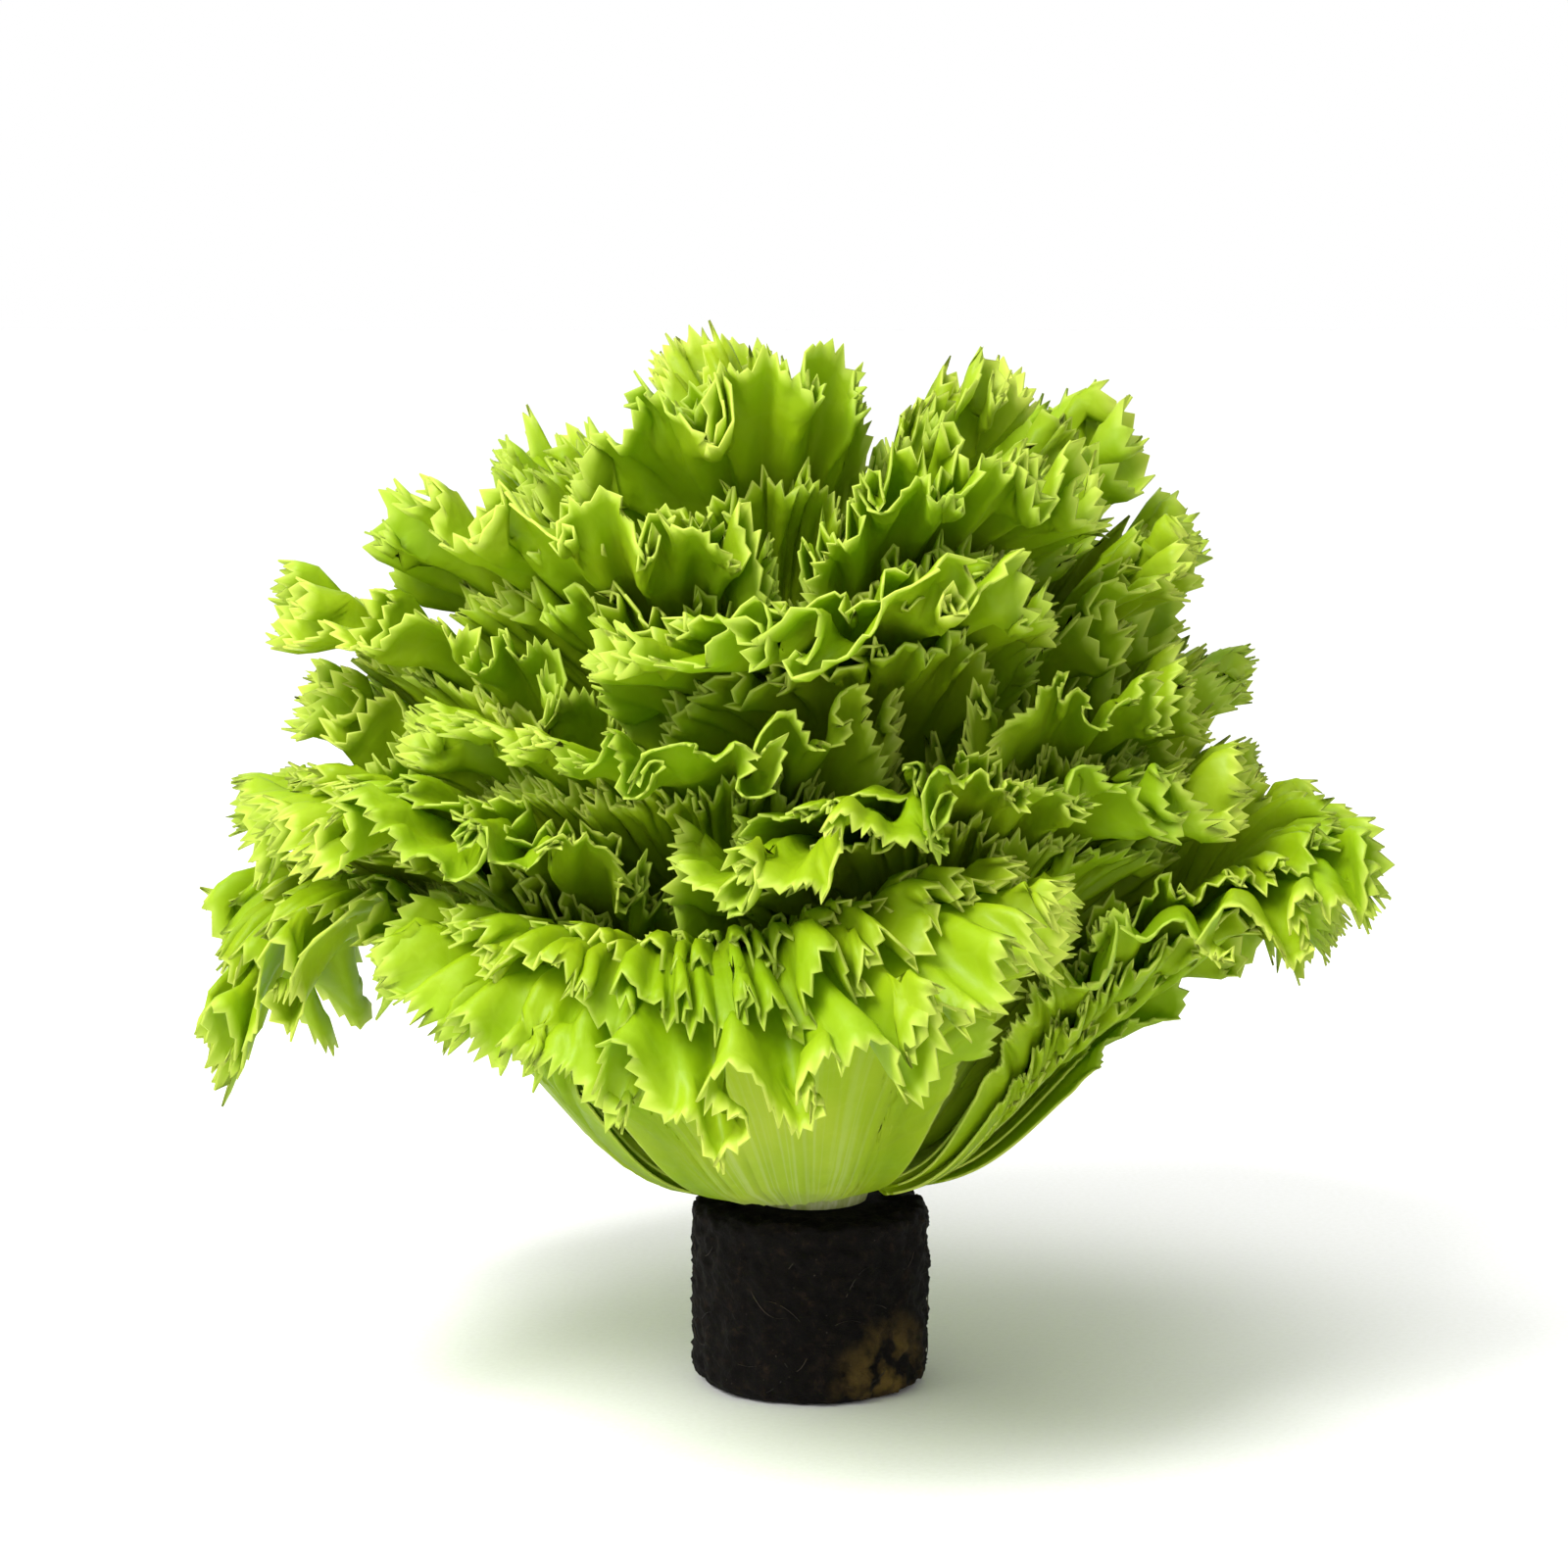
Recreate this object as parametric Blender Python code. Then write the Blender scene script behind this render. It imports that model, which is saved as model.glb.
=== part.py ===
"""Coral lettuce: a loose head of frilled leaves on the peat plug that it was raised in. Metres, +Z up.

The leaves spring from a short domed stem, one after another by the golden angle, the outermost first. Each one
keeps to a layer of its own, a range of angles from the upright, so that no two leaves meet however they wave.
The origin is the centre of the plug's flat bottom. The front of the head faces -Y.
"""

import math
import random

import bmesh
import bpy
import numpy as np
from mathutils import Vector

# The peat plug, which a hand can close round. The rest of the head is in proportion to it.
PLUG_RADIUS = 0.0226
PLUG_HEIGHT = 0.0350
PLUG_FOOT_RADIUS = 0.0185
PLUG_BROW = 0.002
PLUG_WALL_HEIGHTS = (0.010, 0.016, 0.022, 0.028)
PLUG_SIDES = 36
PLUG_CRUMB = 0.0004
PLUG_CRUMB_WAVES = ((5.0, 400.0), (11.0, -700.0))

# The stem: a dome that carries the leaves, on a collar that stands in the plug.
STEM_RADIUS = 0.012
STEM_HEIGHT = 0.0392
COLLAR_RADIUS = 0.009
COLLAR_DEPTH = 0.010
STEM_LIP = 0.0012
STEM_SIDES = 24
CLEARANCE = 0.0003

# The spiral of leaves. A leaf's layer, in degrees, sets how far from the upright it heads, all along it.
LEAVES = 26
GOLDEN_ANGLE = 137.508
FIRST_AZIMUTH = 177.0
LAYER_OUTER = 56.0
LAYER_INNER = 8.0
LAYER_STEP = (LAYER_OUTER - LAYER_INNER) / (LEAVES - 1)
HALF_SPAN = 40.0

# How long the leaves are, along the blade. The innermost and the outermost ones are the longest.
LENGTH = 0.129
LENGTH_INNER_EXTRA = 0.024
LENGTH_OUTER_EXTRA = 0.009
LENGTH_SPREAD = 0.025

# A leaf's heading, as parts of its layer: level out of the stem, up round the bowl, then spreading to a curled
# tip. The outermost leaves also hang over, by so many degrees. A start and a run are distances along the blade.
RISE = 0.74
BOWL = 1.02
BOWL_START = -0.004
BOWL_RUN = 0.042
SPREAD = 0.42
SPREAD_START = 0.050
SPREAD_RUN = 0.065
CURL = 50.0
CURL_LAYER = 13.0
CURL_START = 0.092
CURL_RUN = 0.040
HANG = 72.0
HANG_LAYER = 42.0
HANG_LAYERS = 24.0
HANG_START = 0.084
HANG_RUN = 0.036
PATH_STEPS = 24

# The head's slow lean this way and that, which grows from nothing at the stem.
SWAY = 0.0035
SWAY_LENGTH = 0.095
SWAY_START = 0.025
SWAY_RUN = 0.060
SWAY_TURNS = ((0.0, 1.0, 0.6, 0.0), (-0.5, 0.0, 1.0, 1.3), (1.0, 0.4, 0.0, 2.1))

# Where the leaves are longer (+) or shorter (-): azimuth, layer, spread in degrees, and metres.
SWELLS = (
    (177.0, 56.0, 12.0, -0.019),
    (170.0, 15.0, 9.0, -0.012),
    (0.0, 30.0, 20.0, -0.018),
    (355.0, 50.0, 16.0, -0.018),
    (262.0, 54.0, 14.0, 0.004),
    (240.0, 44.0, 10.0, -0.012),
    (295.0, 44.0, 9.0, -0.010),
    (307.0, 32.0, 10.0, -0.012),
    (264.0, 34.0, 8.0, -0.007),
    (275.0, 22.0, 16.0, 0.006),
)

# One leaf's outline, in parts of its length and of half its span. A higher bluntness squares its tip.
NECK = 0.10
NECK_WIDTH = 0.92
WIDEST = 0.62
BASE_WIDTH = 0.90
BLUNTNESS = 3.0
LOBE = 0.004
LOBES = 2.5

# How the lines from a leaf's base to its margin bend: first up the blade, then out to its sides. The two outermost
# lines keep to the sides all the way, the more so the higher the last number.
ELBOW_UP = 0.65
ELBOW_OUT = 0.45
ELBOW_SIDE = 12.0

# The blade: thick and juicy at the rib, thin at the frilled margin. Round a sharp fold its faces keep their
# distance, as far as the least lean allows.
RIB_THICKNESS = 0.0020
RIB_FADE = 0.7
MARGIN_THICKNESS = 0.0008
LEAN_ROUNDS = 60
LEAST_LEAN = 0.5

# The blade's rows have a point for so many of the margin's, and swing by parts of a layer in waves of two, four
# and eight of the margin's points. The necks hold still, and so do the tight inner leaves.
ROW_PLACES = (0.0, 0.18, 0.36, 0.52, 0.66, 0.78, 0.89, 1.0)
ROW_SPLITS = (8, 8, 8, 4, 4, 2, 2, 1)
FINE_WAVES = (0.0, 0.0, 0.0, 0.0, 0.0, 0.0, 0.0, 1.2)
MIDDLE_WAVES = (0.0, 0.0, 0.0, 0.0, 0.0, 0.9, 1.4, 0.9)
BROAD_WAVES = (0.0, 0.0, 0.0, 0.5, 0.9, 0.8, 0.7, 0.5)
SWING_LIMIT = 1.8
TOOTH = 0.006
UNEVEN = 0.7
STILL_NECK = 0.25
CALM_LAYER = 30.0
SLIDE = 0.0002
SLIDE_ROUNDS = 6
POINTS_OUTER = 56
POINTS_INNER = 40
FIRST_INNER_LEAF = 14
SEED = 5


def clear_scene():
    for thing in list(bpy.data.objects):
        bpy.data.objects.remove(thing, do_unlink=True)


def smooth(x):
    x = np.clip(x, 0.0, 1.0)
    return x * x * (3.0 - 2.0 * x)


def finish(name, colour, roughness):
    """A plain surface of one colour."""
    material = bpy.data.materials.new(name)
    material.use_nodes = True
    shader = material.node_tree.nodes["Principled BSDF"]
    shader.inputs["Base Color"].default_value = (*colour, 1.0)
    shader.inputs["Roughness"].default_value = roughness
    shader.inputs["Metallic"].default_value = 0.0
    return material


def link(name, mesh, material):
    thing = bpy.data.objects.new(name, mesh)
    bpy.context.scene.collection.objects.link(thing)
    mesh.materials.append(material)
    mesh.shade_smooth()
    return thing


def sway(point):
    """How far the head leans at each of these points: a slow wave along each axis."""
    wave = 2.0 * math.pi / SWAY_LENGTH
    lean = [np.sin(wave * (point @ np.array([x, y, z])) + phase) for x, y, z, phase in SWAY_TURNS]
    return SWAY * np.stack(lean, axis=-1)


def heading(path, layer):
    """Which way a leaf runs this far along it, in degrees from the upright."""
    bowl = BOWL * (1.0 - smooth((path - BOWL_START) / BOWL_RUN))
    spread = SPREAD * smooth((path - SPREAD_START) / SPREAD_RUN)
    curl = (1.0 - np.exp(-layer / CURL_LAYER)) * smooth((path - CURL_START) / CURL_RUN)
    hang = smooth((layer - HANG_LAYER) / HANG_LAYERS) * smooth((path - HANG_START) / HANG_RUN)
    return layer * (RISE + bowl + spread) + CURL * curl + HANG * hang


def head_point(path, azimuth, layer):
    """The place this far along a leaf, at this azimuth and in this layer, both in degrees."""
    path, azimuth, layer = np.broadcast_arrays(path, azimuth, layer)
    root = np.radians(heading(np.zeros_like(layer), layer))
    steps = (np.arange(PATH_STEPS) + 0.5) / PATH_STEPS
    way = np.radians(heading(path[..., None] * steps, layer[..., None]))
    out = (STEM_RADIUS + CLEARANCE) * np.sin(root) + path * np.sin(way).mean(axis=-1)
    up = (STEM_RADIUS + CLEARANCE) * np.cos(root) + path * np.cos(way).mean(axis=-1)
    turn = np.radians(azimuth)
    point = np.stack([out * np.cos(turn), out * np.sin(turn), STEM_HEIGHT + up], axis=-1)
    return point + sway(point) * smooth((path - SWAY_START) / SWAY_RUN)[..., None]


def leaf_layer(number):
    return LAYER_OUTER - number * LAYER_STEP


def leaf_azimuth(number):
    return (FIRST_AZIMUTH - number * GOLDEN_ANGLE) % 360.0


def leaf_length(number, chance):
    """How long the leaf is, along the middle of its blade."""
    outer = smooth((leaf_layer(number) - HANG_LAYER) / (LAYER_OUTER - HANG_LAYER))
    inner = 1.0 - smooth((leaf_layer(number) - LAYER_INNER) / (HANG_LAYER - LAYER_INNER))
    length = LENGTH + LENGTH_OUTER_EXTRA * outer + LENGTH_INNER_EXTRA * inner
    return float(length) * (1.0 + LENGTH_SPREAD * chance.uniform(-1.0, 1.0))


def swung_point(path, azimuth, layer, swing):
    """The place of a leaf's point once it has swung so many degrees of layer outward, straight across the blade."""
    start = head_point(path, azimuth, layer)
    along = (head_point(path + SLIDE, azimuth, layer) - start) / SLIDE
    for _ in range(SLIDE_ROUNDS):
        aside = head_point(path, azimuth, layer + swing) - start
        path = path - (aside * along).sum(axis=-1)
    return head_point(path, azimuth, layer + swing)


def swell(azimuth, layer):
    """How much longer than others the leaves are at these azimuths in this layer."""
    total = np.zeros_like(azimuth)
    for swell_azimuth, swell_layer, spread, height in SWELLS:
        aside = (azimuth - swell_azimuth + 180.0) % 360.0 - 180.0
        apart = np.hypot(aside * math.sin(math.radians(swell_layer)), layer - swell_layer)
        total += height * np.exp(-((apart / spread) ** 2))
    return total


def body_width(part):
    """Half the span of the blade's body at this part of its length, in degrees, as if its tip were square."""
    return HALF_SPAN * np.where(
        part < NECK,
        BASE_WIDTH + (NECK_WIDTH - BASE_WIDTH) * part / NECK,
        NECK_WIDTH + (1.0 - NECK_WIDTH) * smooth((part - NECK) / (WIDEST - NECK)),
    )


def margin_line(count, length, layer):
    """Points evenly along the blade's margin, from its right neck over the tip to its left neck.

    Each is a place across the body, from -1 to +1, and a distance along the blade."""
    part = NECK + (1.0 - NECK) * np.sin(np.linspace(0.0, 0.5 * math.pi, 200))
    beyond = np.clip((part - WIDEST) / (1.0 - WIDEST), 0.0, 1.0)
    across = (1.0 - beyond**BLUNTNESS) ** (1.0 / BLUNTNESS)
    across = np.concatenate([-across, across[-2::-1]])
    part = np.concatenate([part, part[-2::-1]])
    steps = np.linalg.norm(np.diff(head_point(length * part, across * body_width(part), layer), axis=0), axis=1)
    travelled = np.concatenate([[0.0], np.cumsum(steps)])
    stops = np.linspace(0.0, travelled[-1], count + 1)
    return np.interp(stops, travelled, across), length * np.interp(stops, travelled, part)


def zigzag(count, step):
    """A line of count spans that goes from +1 to -1 and back, turning at every step of them."""
    turns = np.arange(0, count + 1, step)
    return np.interp(np.arange(count + 1), turns, np.where((turns // step) % 2 == 0, 1.0, -1.0))


def leaf_rows(number, chance):
    """The blade's middle surface as rows of points from the stem to the margin, each with its thickness."""
    count = POINTS_OUTER if number < FIRST_INNER_LEAF else POINTS_INNER
    azimuth = leaf_azimuth(number)
    layer = leaf_layer(number)
    length = leaf_length(number, chance)
    end_across, end_path = margin_line(count, length, layer)
    place = np.linspace(-1.0, 1.0, count + 1)
    free = min(1.0, layer / CALM_LAYER) * smooth((1.0 - np.abs(place)) / STILL_NECK)
    lobes = LOBE * np.sin(math.pi * LOBES * place + chance.uniform(0.0, 2.0 * math.pi))
    end_offset = end_across * body_width(end_path / length)
    end_path = end_path + free * (lobes + swell(azimuth + end_offset, layer))
    uneven = [np.array([chance.uniform(UNEVEN, 1.0) for _ in place]) for _ in range(3)]
    fine, middle, broad = [zigzag(count, step) * free * rough for step, rough in zip((1, 2, 4), uneven)]
    teeth = TOOTH * free * np.array([chance.uniform(0.0, 1.0) for _ in place])
    elbow_out = ELBOW_OUT + (1.0 - ELBOW_OUT) * np.abs(place) ** ELBOW_SIDE
    rows = []
    for row, along in enumerate(ROW_PLACES):
        bend = 2.0 * along * (1.0 - along)
        path = end_path * (along**2 + bend * ELBOW_UP) + (teeth if along == 1.0 else 0.0)
        across = place * (1.0 - along) ** 2 + end_across * (along**2 + bend * elbow_out)
        offset = across * body_width(path / length)
        swing = FINE_WAVES[row] * fine + MIDDLE_WAVES[row] * middle + BROAD_WAVES[row] * broad
        swing = np.clip(swing, -SWING_LIMIT, SWING_LIMIT)
        own_layer = layer - LAYER_STEP * offset / HALF_SPAN
        points = swung_point(path, azimuth + offset, own_layer, -LAYER_STEP * swing)
        rib = (1.0 - along) * (1.0 - RIB_FADE * np.abs(place))
        thickness = MARGIN_THICKNESS + (RIB_THICKNESS - MARGIN_THICKNESS) * rib
        rows.append((points[:: ROW_SPLITS[row]], thickness[:: ROW_SPLITS[row]]))
    return rows


def stitch(bm, near, far):
    """Triangles between two rows of points, the far one with as many spans or with twice as many."""
    if len(far) == len(near):
        for i in range(len(near) - 1):
            bm.faces.new((near[i], near[i + 1], far[i + 1]))
            bm.faces.new((near[i], far[i + 1], far[i]))
        return
    for i in range(len(near) - 1):
        first, middle, last = far[2 * i : 2 * i + 3]
        bm.faces.new((near[i], middle, first))
        bm.faces.new((near[i], near[i + 1], middle))
        bm.faces.new((near[i + 1], last, middle))


def outward(vertex):
    """The direction that leans least from the faces round a point, long enough to keep the blade's thickness."""
    normals = np.array([face.normal for face in vertex.link_faces])
    axis = normals.mean(axis=0)
    for count in range(LEAN_ROUNDS):
        axis = axis + normals[np.argmin(normals @ axis)] / (count + 2)
        axis = axis / np.linalg.norm(axis)
    return Vector(axis) / max(float((normals @ axis).mean()), LEAST_LEAN)


def make_leaf(number, chance, material):
    """One leaf: the same triangles on both faces of a waved sheet, and a strip all round its edge."""
    rows = leaf_rows(number, chance)
    bm = bmesh.new()
    lines = [[bm.verts.new(point) for point in points] for points, _ in rows]
    for near, far in zip(lines, lines[1:]):
        stitch(bm, near, far)
    bm.normal_update()
    thickness = np.concatenate([row[1] for row in rows]).tolist()
    half = [outward(vertex) * 0.5 * thick for vertex, thick in zip(bm.verts, thickness)]
    top = list(bm.verts)
    rim = [edge.link_loops[0] for edge in bm.edges if edge.is_boundary]
    rim = [(loop.vert, loop.link_loop_next.vert) for loop in rim]
    sheet = [tuple(face.verts) for face in bm.faces]
    bottom = {vertex: bm.verts.new(vertex.co - aside) for vertex, aside in zip(top, half)}
    for vertex, aside in zip(top, half):
        vertex.co += aside
    for a, b, c in sheet:
        bm.faces.new((bottom[c], bottom[b], bottom[a]))
    for a, b in rim:
        bm.faces.new((b, a, bottom[a]))
        bm.faces.new((b, bottom[a], bottom[b]))
    mesh = bpy.data.meshes.new("leaf")
    bm.to_mesh(mesh)
    bm.free()
    return link(f"leaf_{number + 1:02d}", mesh, material)


def turned(name, profile, sides, material):
    """A solid turned about +Z from a profile of (radius, height) points that starts and ends on the axis."""
    bm = bmesh.new()
    points = [bm.verts.new((radius, 0.0, height)) for radius, height in profile]
    edges = [bm.edges.new(pair) for pair in zip(points, points[1:])]
    bmesh.ops.spin(
        bm,
        geom=points + edges,
        cent=(0.0, 0.0, 0.0),
        axis=(0.0, 0.0, 1.0),
        angle=2.0 * math.pi,
        steps=sides,
        use_merge=True,
    )
    bmesh.ops.remove_doubles(bm, verts=bm.verts, dist=1e-6)
    bmesh.ops.recalc_face_normals(bm, faces=bm.faces)
    mesh = bpy.data.meshes.new(name)
    bm.to_mesh(mesh)
    bm.free()
    return link(name, mesh, material)


def arc(centre_radius, centre_height, radius, start, end, steps):
    """Profile points on a quarter or half round, from one angle to another in degrees above level."""
    turns = [math.radians(start + (end - start) * i / steps) for i in range(steps + 1)]
    return [(centre_radius + radius * math.cos(a), centre_height + radius * math.sin(a)) for a in turns]


def make_stem(material):
    """The short stem: a dome above, and a narrower collar that stands in the plug."""
    foot = PLUG_HEIGHT - COLLAR_DEPTH
    shoulder = PLUG_HEIGHT + CLEARANCE
    dome = arc(0.0, STEM_HEIGHT, STEM_RADIUS, 90.0, 0.0, 6)
    collar = [(STEM_RADIUS - STEM_LIP, shoulder), (COLLAR_RADIUS, shoulder), (COLLAR_RADIUS, foot)]
    return turned("stem", [*dome, *collar, (0.0, foot)], STEM_SIDES, material)


def make_plug(material):
    """The peat plug: a barrel with rounded edges, a flat foot and a plain hole for the stem's collar."""
    hole = COLLAR_RADIUS + CLEARANCE
    hole_floor = PLUG_HEIGHT - COLLAR_DEPTH - CLEARANCE
    edge = PLUG_RADIUS - PLUG_FOOT_RADIUS
    bottom = [(0.0, 0.0), *arc(PLUG_FOOT_RADIUS, edge, edge, -90.0, 0.0, 3)]
    wall = [(PLUG_RADIUS, height) for height in PLUG_WALL_HEIGHTS]
    brow = arc(PLUG_RADIUS - PLUG_BROW, PLUG_HEIGHT - PLUG_BROW, PLUG_BROW, 0.0, 90.0, 2)
    profile = [*bottom, *wall, *brow, (hole, PLUG_HEIGHT), (hole, hole_floor), (0.0, hole_floor)]
    plug = turned("peat_plug", profile, PLUG_SIDES, material)
    for vertex in plug.data.vertices:
        out = vertex.co.to_2d().length
        if out > PLUG_FOOT_RADIUS + PLUG_CRUMB:
            turn = math.atan2(vertex.co.y, vertex.co.x)
            crumb = sum(math.sin(round_it * turn + up_it * vertex.co.z) for round_it, up_it in PLUG_CRUMB_WAVES)
            vertex.co.x += PLUG_CRUMB * crumb * math.cos(turn)
            vertex.co.y += PLUG_CRUMB * crumb * math.sin(turn)


def build():
    clear_scene()
    leaf_green = finish("frilled leaf", (0.30, 0.52, 0.03), 0.45)
    stem_cream = finish("stem flesh", (0.62, 0.68, 0.32), 0.5)
    peat_brown = finish("wet peat", (0.018, 0.012, 0.008), 0.9)
    chance = random.Random(SEED)
    make_plug(peat_brown)
    make_stem(stem_cream)
    for number in range(LEAVES):
        make_leaf(number, chance, leaf_green)


build()
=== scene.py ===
"""Coral lettuce on its peat plug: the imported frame, dressed piece by piece.

Metres, with +Z up. The front faces -Y."""

import math
import random

import bmesh
import bpy
import numpy as np
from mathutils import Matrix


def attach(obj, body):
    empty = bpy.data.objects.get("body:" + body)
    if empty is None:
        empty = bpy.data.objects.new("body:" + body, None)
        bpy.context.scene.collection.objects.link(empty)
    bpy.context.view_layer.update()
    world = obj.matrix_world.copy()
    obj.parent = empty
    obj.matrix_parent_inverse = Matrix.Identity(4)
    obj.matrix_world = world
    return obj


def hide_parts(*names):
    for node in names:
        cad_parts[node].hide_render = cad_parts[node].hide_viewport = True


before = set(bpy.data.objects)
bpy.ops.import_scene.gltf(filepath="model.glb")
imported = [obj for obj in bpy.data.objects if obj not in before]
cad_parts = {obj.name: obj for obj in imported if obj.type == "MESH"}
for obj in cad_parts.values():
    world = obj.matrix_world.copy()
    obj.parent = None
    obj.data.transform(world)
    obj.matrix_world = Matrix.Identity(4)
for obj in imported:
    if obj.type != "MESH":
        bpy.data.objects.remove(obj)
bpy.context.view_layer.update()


# The leaves: 26 thin juicy blades, each grown from the stem as one living skin with a tightly frilled
# margin. They follow each other up the stem in a spiral, the outermost first, and hold on by their broad
# bases. Their form is the solids' own, with the frill, the fine teeth and the veins added to it.
def smooth(x):
    """From 0 to 1 in a soft step, and level beyond both."""
    x = np.clip(x, 0.0, 1.0)
    return x * x * (3.0 - 2.0 * x)


# The spiral. A leaf's layer, in degrees, sets how far from the upright it heads, all along it.
STEM_RADIUS = 0.012
STEM_HEIGHT = 0.0392
CLEARANCE = 0.0003
LEAVES = 26
GOLDEN_ANGLE = 137.508
FIRST_AZIMUTH = 177.0
LAYER_OUTER = 56.0
LAYER_INNER = 8.0
LAYER_STEP = (LAYER_OUTER - LAYER_INNER) / (LEAVES - 1)
HALF_SPAN = 40.0

# How long the leaves are, along the blade. The innermost and the outermost ones are the longest.
LENGTH = 0.129
LENGTH_INNER_EXTRA = 0.024
LENGTH_OUTER_EXTRA = 0.009
LENGTH_SPREAD = 0.025

# A leaf's heading, as parts of its layer: level out of the stem, up round the bowl, then spreading to a
# curled tip. The outermost leaves also hang over. A start and a run are distances along the blade.
RISE = 0.74
BOWL = 1.02
BOWL_START = -0.004
BOWL_RUN = 0.042
SPREAD = 0.42
SPREAD_START = 0.050
SPREAD_RUN = 0.065
CURL = 50.0
CURL_LAYER = 13.0
CURL_START = 0.092
CURL_RUN = 0.040
HANG = 72.0
HANG_LAYER = 42.0
HANG_LAYERS = 24.0
HANG_START = 0.084
HANG_RUN = 0.036
PATH_STEPS = 24

# The head's slow lean this way and that, which grows from nothing at the stem.
SWAY = 0.0035
SWAY_LENGTH = 0.095
SWAY_START = 0.025
SWAY_RUN = 0.060
SWAY_TURNS = ((0.0, 1.0, 0.6, 0.0), (-0.5, 0.0, 1.0, 1.3), (1.0, 0.4, 0.0, 2.1))

# Where the leaves are longer (+) or shorter (-): azimuth, layer, spread in degrees, and metres.
SWELLS = (
    (177.0, 56.0, 12.0, -0.019),
    (170.0, 15.0, 9.0, -0.012),
    (0.0, 30.0, 20.0, -0.018),
    (355.0, 50.0, 16.0, -0.018),
    (262.0, 54.0, 14.0, 0.004),
    (240.0, 44.0, 10.0, -0.012),
    (295.0, 44.0, 9.0, -0.010),
    (307.0, 32.0, 10.0, -0.012),
    (264.0, 34.0, 8.0, -0.007),
    (275.0, 22.0, 16.0, 0.006),
)

# One leaf's outline, in parts of its length and of half its span. A higher bluntness squares its tip. Slow
# waves run along its margin, but not at its two ends, and less in the upright inner layers.
NECK = 0.10
NECK_WIDTH = 0.92
WIDEST = 0.62
BASE_WIDTH = 0.90
BLUNTNESS = 3.0
LOBE = 0.004
LOBES = 2.5
CALM_ENDS = 0.25
CALM_LAYER = 30.0
OUTLINE_STEPS = 200

# How the lines from a leaf's base to its margin bend: first up the blade, then out to its sides. The two
# outermost lines keep to the sides all the way, the more so the higher the last number.
ELBOW_UP = 0.65
ELBOW_OUT = 0.45
ELBOW_SIDE = 12.0

# The draws behind the solids' shapes, which are made again here: the stretches of an outer and of an inner
# leaf's margin, and how many numbers the solids' own coarse frill draws at each of the margin's points.
POINTS_OUTER = 56
POINTS_INNER = 40
FIRST_INNER_LEAF = 14
SEED = 5
SOLID_DRAWS = 4


def sway(point):
    """How far the head leans at each of these points: a slow wave along each axis."""
    wave = 2.0 * math.pi / SWAY_LENGTH
    lean = [np.sin(wave * (point @ np.array([x, y, z])) + phase) for x, y, z, phase in SWAY_TURNS]
    return SWAY * np.stack(lean, axis=-1)


def heading(path, layer):
    """Which way a leaf runs this far along it, in degrees from the upright."""
    bowl = BOWL * (1.0 - smooth((path - BOWL_START) / BOWL_RUN))
    spread = SPREAD * smooth((path - SPREAD_START) / SPREAD_RUN)
    curl = (1.0 - np.exp(-layer / CURL_LAYER)) * smooth((path - CURL_START) / CURL_RUN)
    hang = smooth((layer - HANG_LAYER) / HANG_LAYERS) * smooth((path - HANG_START) / HANG_RUN)
    return layer * (RISE + bowl + spread) + CURL * curl + HANG * hang


def head_point(path, azimuth, layer):
    """The place this far along a leaf, at this azimuth and in this layer, both in degrees."""
    path, azimuth, layer = np.broadcast_arrays(path, azimuth, layer)
    root = np.radians(heading(np.zeros_like(layer), layer))
    out = np.zeros_like(path)
    up = np.zeros_like(path)
    for step in range(PATH_STEPS):
        way = np.radians(heading(path * (step + 0.5) / PATH_STEPS, layer))
        out += np.sin(way)
        up += np.cos(way)
    out = (STEM_RADIUS + CLEARANCE) * np.sin(root) + path * out / PATH_STEPS
    up = (STEM_RADIUS + CLEARANCE) * np.cos(root) + path * up / PATH_STEPS
    turn = np.radians(azimuth)
    point = np.stack([out * np.cos(turn), out * np.sin(turn), STEM_HEIGHT + up], axis=-1)
    return point + sway(point) * smooth((path - SWAY_START) / SWAY_RUN)[..., None]


SLIDE = 0.0002
SLIDE_ROUNDS = 3


def swung_point(path, azimuth, layer, swing):
    """The place of a leaf's point once it has swung so many degrees of layer, straight across the blade."""
    start = head_point(path, azimuth, layer)
    along = (head_point(path + SLIDE, azimuth, layer) - start) / SLIDE
    for _ in range(SLIDE_ROUNDS):
        aside = head_point(path, azimuth, layer + swing) - start
        path = path - (aside * along).sum(axis=-1)
    return head_point(path, azimuth, layer + swing)


def leaf_layer(number):
    """The leaf's layer in the middle of its blade, in degrees: the outermost leaf heads farthest out."""
    return LAYER_OUTER - number * LAYER_STEP


def leaf_azimuth(number):
    """Which way the leaf faces: each stands a golden angle on from the one before it."""
    return (FIRST_AZIMUTH - number * GOLDEN_ANGLE) % 360.0


def leaf_length(number, chance):
    """How long the leaf is, along the middle of its blade."""
    outer = smooth((leaf_layer(number) - HANG_LAYER) / (LAYER_OUTER - HANG_LAYER))
    inner = 1.0 - smooth((leaf_layer(number) - LAYER_INNER) / (HANG_LAYER - LAYER_INNER))
    length = LENGTH + LENGTH_OUTER_EXTRA * outer + LENGTH_INNER_EXTRA * inner
    return float(length) * (1.0 + LENGTH_SPREAD * chance.uniform(-1.0, 1.0))


def swell(azimuth, layer):
    """How much longer than others the leaves are at these azimuths in this layer."""
    total = np.zeros_like(azimuth)
    for swell_azimuth, swell_layer, spread, height in SWELLS:
        aside = (azimuth - swell_azimuth + 180.0) % 360.0 - 180.0
        apart = np.hypot(aside * math.sin(math.radians(swell_layer)), layer - swell_layer)
        total += height * np.exp(-((apart / spread) ** 2))
    return total


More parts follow.
